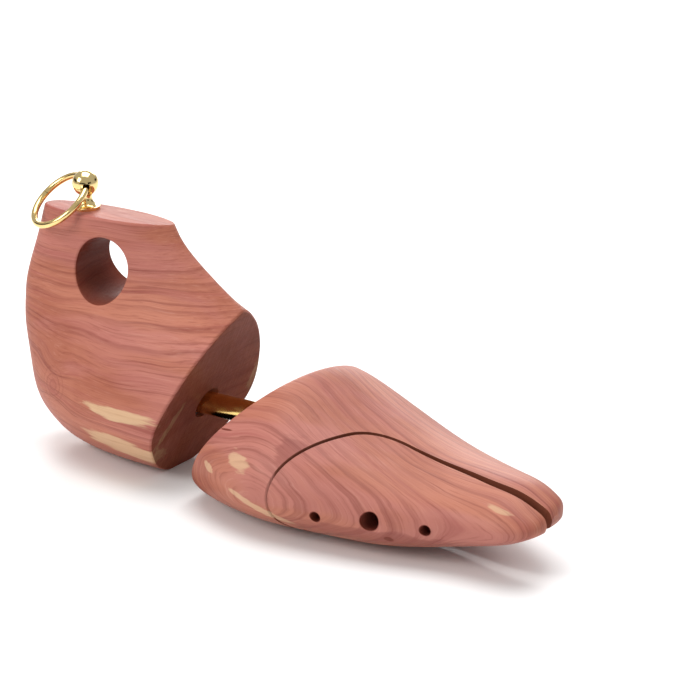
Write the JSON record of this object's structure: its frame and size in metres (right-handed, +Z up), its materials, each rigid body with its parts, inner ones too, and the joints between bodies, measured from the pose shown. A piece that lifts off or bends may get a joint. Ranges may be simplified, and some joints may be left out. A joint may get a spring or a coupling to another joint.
{
  "type": "shoe tree",
  "caption": "Split-toe aromatic cedar shoe tree with a sprung brass tube, a finger hole in the heel and a loose hanging ring on a ball knob.",
  "frame": {"origin": "centre of the overall box, on the surface that the tree stands on", "axes": "+X towards the toe, -Y towards the lateral side of the right foot, +Z up"},
  "size_m": [0.2522, 0.0838, 0.1138],
  "materials": {
    "cedar": "sanded, unvarnished red cedar with pale sapwood streaks",
    "brass": "polished brass plate",
    "steel": "plain turned and drawn steel",
    "spring_steel": "oiled spring wire",
    "nylon": "black moulded nylon",
    "beech": "plain beech dowel"
  },
  "bodies": {
    "toe": {"toe_block": "cedar", "slide_tube": "brass", "tube_dowel": "beech", "toe_tube_pin": "steel", "stop_collar": "steel", "collar_pin": "steel", "hinge_plate": "steel", "hinge_plate_pins": "steel", "wing_spring": "spring_steel", "wing_limit_screw": "steel"},
    "heel": {"heel_block": "cedar", "housing_tube": "steel", "housing_plug": "steel", "mouth_bush": "nylon", "heel_tube_pin": "steel", "tube_spring": "spring_steel", "knob_foot": "brass", "knob_ball": "brass", "knob_stud": "steel"},
    "wing": {"toe_wing": "cedar", "wing_hinge_pin": "steel"},
    "ring": {"hanger_ring": "brass"}
  },
  "joints": [
    {"name": "heel_slide", "type": "slide", "parent": "toe", "child": "heel", "axis": [1, 0, 0], "range_m": [0, 0.02], "stiffness_N_per_m": 1200, "springref_m": -0.02, "deforming": ["tube_spring"]},
    {"name": "wing_swing", "type": "hinge", "parent": "toe", "child": "wing", "pos_m": [0.036, -0.0325, 0.018], "axis": [0, 0, 1], "range_deg": [0, 2.5], "stiffness_Nm_per_rad": 0.6, "springref_deg": -22.92, "deforming": ["wing_spring"]},
    {"name": "ring_swing", "type": "hinge", "parent": "heel", "child": "ring", "pos_m": [-0.0946, 0.0051, 0.10855], "axis": [-0.6535, 0.691, 0.309], "range_deg": [0, 228]}
  ]
}
